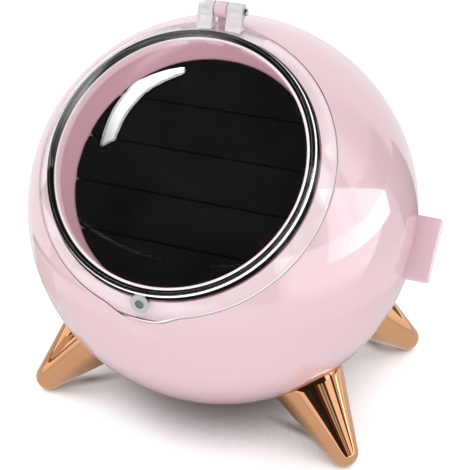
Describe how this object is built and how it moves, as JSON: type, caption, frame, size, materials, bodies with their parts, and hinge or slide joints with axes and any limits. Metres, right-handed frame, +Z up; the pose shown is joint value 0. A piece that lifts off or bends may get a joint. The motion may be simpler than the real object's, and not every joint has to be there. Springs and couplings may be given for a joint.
{
  "type": "jewelry box",
  "caption": "Ball-shaped jewelry box on slanted cone legs, with a round clear hinged lid over a slotted ring pad.",
  "frame": {"origin": "on the floor under the ball's centre", "axes": "+Z up, -Y towards the viewer who faces the lid, +X to that viewer's right"},
  "size_m": [0.1338, 0.1206, 0.1294],
  "materials": {
    "pink_plastic": "high-gloss pale pink ABS",
    "well_plastic": "satin pale pink ABS",
    "clear_plastic": "clear polished styrene",
    "black_velvet": "short-pile black velvet over foam",
    "board": "plain black board",
    "rose_gold": "mirror-bright rose-gold plating on ABS",
    "steel": "bright plated steel",
    "magnet_steel": "nickel-plated magnet",
    "black_rubber": "smooth black silicone"
  },
  "bodies": {
    "case": {"front_shell": "pink_plastic", "rear_shell": "pink_plastic", "display_well": "well_plastic", "seal_ring": "black_rubber", "pad_board": "board", "body_magnet": "magnet_steel", "well_screws": "steel", "shell_screws": "steel", "leg_screws": "steel", "pad_strip_top": "black_velvet", "pad_strip_upper": "black_velvet", "pad_strip_middle": "black_velvet", "pad_strip_lower": "black_velvet", "pad_strip_bottom": "black_velvet", "leg_front_left": "rose_gold", "leg_front_right": "rose_gold", "leg_rear_left": "rose_gold", "leg_rear_right": "rose_gold"},
    "lid": {"clear_lid": "clear_plastic", "lid_magnet": "magnet_steel", "hinge_pin": "steel"}
  },
  "joints": [
    {"name": "lid_hinge", "type": "hinge", "parent": "case", "child": "lid", "pos_m": [0, 0, 0.1271], "axis": [-1, 0, 0], "range_deg": [0, 110]}
  ]
}
